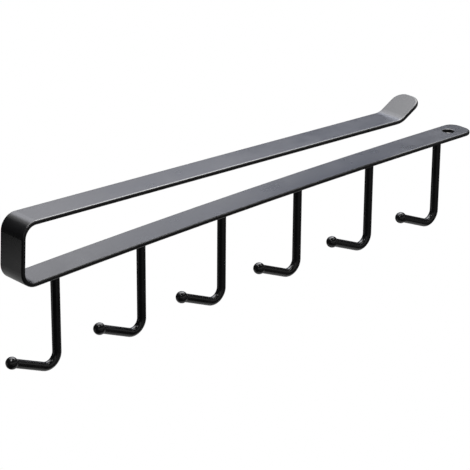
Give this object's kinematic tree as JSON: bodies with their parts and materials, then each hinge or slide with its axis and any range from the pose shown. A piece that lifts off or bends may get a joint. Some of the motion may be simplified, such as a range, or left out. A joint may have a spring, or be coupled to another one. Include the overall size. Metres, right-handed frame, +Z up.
{
  "type": "under-shelf hook rail",
  "caption": "Flat steel strip folded into a long spring clip that slides onto a shelf board, with a row of bent ball-ended rod hooks welded below it for cups or tools.",
  "frame": {"origin": "the clip's inside corner, on the strip's middle line, where the lower arm's top line and the wall's inner line meet", "axes": "+X along the strip from the closed end to the open end, the way a board leaves; +Y across the strip; +Z up, from the hooks to the arms"},
  "size_m": [0.283, 0.015, 0.0735],
  "materials": {
    "black_coating": "satin black powder coat on steel"
  },
  "bodies": {
    "root": {"clip_strip": "black_coating", "hook_1": "black_coating", "hook_2": "black_coating", "hook_3": "black_coating", "hook_4": "black_coating", "hook_5": "black_coating", "hook_6": "black_coating"}
  },
  "joints": []
}
